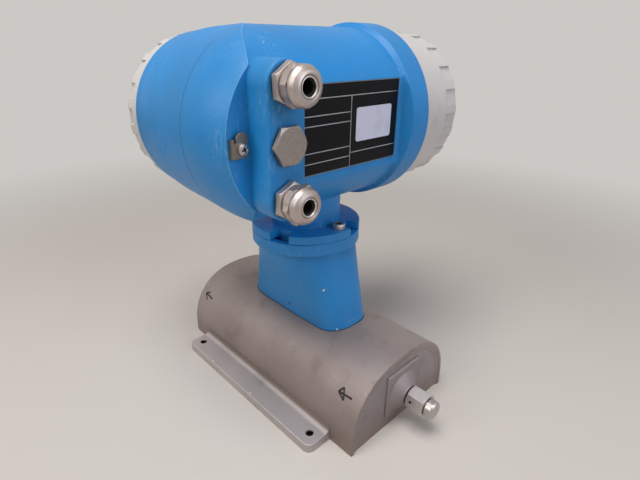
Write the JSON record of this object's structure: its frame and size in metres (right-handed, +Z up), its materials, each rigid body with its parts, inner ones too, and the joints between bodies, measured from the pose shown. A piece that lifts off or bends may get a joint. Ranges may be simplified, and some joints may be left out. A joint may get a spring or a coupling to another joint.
{
  "type": "coriolis mass flow meter",
  "caption": "Compact mass flow meter: half-round steel sensor on feet, blue pedestal and swivelling elbow-shaped transmitter with two screw covers, cable glands and a blank nameplate.",
  "frame": {"origin": "on the floor plane at the centre of the foot hole rectangle", "axes": "+X along the pipe towards the inlet, so that the flow runs to -X, +Y towards the display cover, +Z up"},
  "size_m": [0.291, 0.2334, 0.3043],
  "materials": {
    "sensor_steel": "fine bead-blasted stainless",
    "machined_steel": "machined stainless",
    "blue_coat": "light blue powder coat on die-cast aluminium",
    "blue_column": "light blue powder coat on cast steel",
    "cover_coat": "off-white powder coat on die-cast aluminium",
    "nickel_brass": "nickel-plated brass",
    "black_rubber": "matt",
    "window": "clear",
    "module_plastic": "fine matt",
    "board": "green solder mask",
    "terminal_plastic": "matt",
    "coil_copper": "varnished winding",
    "magnet": "plain",
    "plate_black": "black print, no lettering",
    "label_white": "blank self-adhesive label"
  },
  "bodies": {
    "sensor": {"sensor_shell": "sensor_steel", "base_plate": "sensor_steel", "end_plate_inlet": "sensor_steel", "end_plate_outlet": "sensor_steel", "inlet_block": "sensor_steel", "outlet_block": "sensor_steel", "inlet_ring": "black_rubber", "outlet_ring": "black_rubber", "inlet_plug": "machined_steel", "outlet_plug": "machined_steel", "foot_near": "sensor_steel", "foot_far": "sensor_steel", "measuring_tube": "machined_steel", "inlet_support": "machined_steel", "outlet_support": "machined_steel", "coil_carrier": "machined_steel", "drive_coil": "coil_copper", "pickoff_outlet_coil": "coil_copper", "pickoff_inlet_coil": "coil_copper", "drive_magnet": "magnet", "pickoff_outlet_magnet": "magnet", "pickoff_inlet_magnet": "magnet", "temperature_sensor": "machined_steel", "feedthrough": "machined_steel", "pedestal": "blue_column"},
    "inlet_nut": {"inlet_nut": "machined_steel"},
    "outlet_nut": {"outlet_nut": "machined_steel"},
    "display_seal": {"display_oring": "black_rubber"},
    "display_cover": {"display_cover": "cover_coat", "window_glass": "window", "window_ring": "module_plastic"},
    "terminal_seal": {"terminal_oring": "black_rubber"},
    "terminal_cover": {"terminal_cover": "cover_coat"},
    "upper_gland_cap": {"upper_gland_cap": "nickel_brass"},
    "lower_gland_cap": {"lower_gland_cap": "nickel_brass"},
    "transmitter": {"transmitter_housing": "blue_coat", "swivel_oring": "black_rubber", "flange_screws": "machined_steel", "module_carrier": "module_plastic", "io_board": "board", "amplifier_board": "board", "power_board": "board", "display_module": "module_plastic", "terminal_block": "terminal_plastic", "blind_plug": "nickel_brass", "blind_plug_oring": "black_rubber", "ground_bracket": "machined_steel", "ground_screw": "machined_steel", "nameplate": "plate_black", "label": "label_white", "upper_gland_body": "nickel_brass", "upper_gland_claw": "nickel_brass", "upper_gland_seal": "black_rubber", "upper_gland_oring": "black_rubber", "lower_gland_body": "nickel_brass", "lower_gland_claw": "nickel_brass", "lower_gland_seal": "black_rubber", "lower_gland_oring": "black_rubber"}
  },
  "joints": [
    {"name": "housing_swivel", "type": "hinge", "parent": "sensor", "child": "transmitter", "pos_m": [0, -0.004, 0.1435], "axis": [0, 0, 1], "range_deg": [-180, 180]},
    {"name": "display_cover_travel", "type": "slide", "parent": "transmitter", "child": "display_seal", "axis": [0, 1, 0], "range_m": [0, 0.0081]},
    {"name": "display_cover_turn", "type": "hinge", "parent": "display_seal", "child": "display_cover", "pos_m": [0, 0.064, 0.2343], "axis": [0, 1, 0], "range_deg": [0, 1440]},
    {"name": "terminal_cover_travel", "type": "slide", "parent": "transmitter", "child": "terminal_seal", "axis": [-1, 0, 0], "range_m": [0, 0.0081]},
    {"name": "terminal_cover_turn", "type": "hinge", "parent": "terminal_seal", "child": "terminal_cover", "pos_m": [-0.068, -0.0492, 0.2343], "axis": [-1, 0, 0], "range_deg": [0, 1440]},
    {"name": "upper_cap_turn", "type": "hinge", "parent": "transmitter", "child": "upper_gland_cap", "pos_m": [0.08, -0.0807, 0.2682], "axis": [1, 0, 0], "range_deg": [0, 1080]},
    {"name": "lower_cap_turn", "type": "hinge", "parent": "transmitter", "child": "lower_gland_cap", "pos_m": [0.08, -0.0807, 0.2004], "axis": [1, 0, 0], "range_deg": [0, 1080]},
    {"name": "inlet_nut_turn", "type": "hinge", "parent": "sensor", "child": "inlet_nut", "pos_m": [0.13, 0, 0.0286], "axis": [1, 0, 0], "range_deg": [0, 1080]},
    {"name": "outlet_nut_turn", "type": "hinge", "parent": "sensor", "child": "outlet_nut", "pos_m": [-0.13, 0, 0.0286], "axis": [-1, 0, 0], "range_deg": [0, 1080]}
  ],
  "couplings": [
    {"joint": "display_cover_travel", "follows": "display_cover_turn", "m_per_rad": 0.00031831},
    {"joint": "terminal_cover_travel", "follows": "terminal_cover_turn", "m_per_rad": 0.00031831}
  ]
}
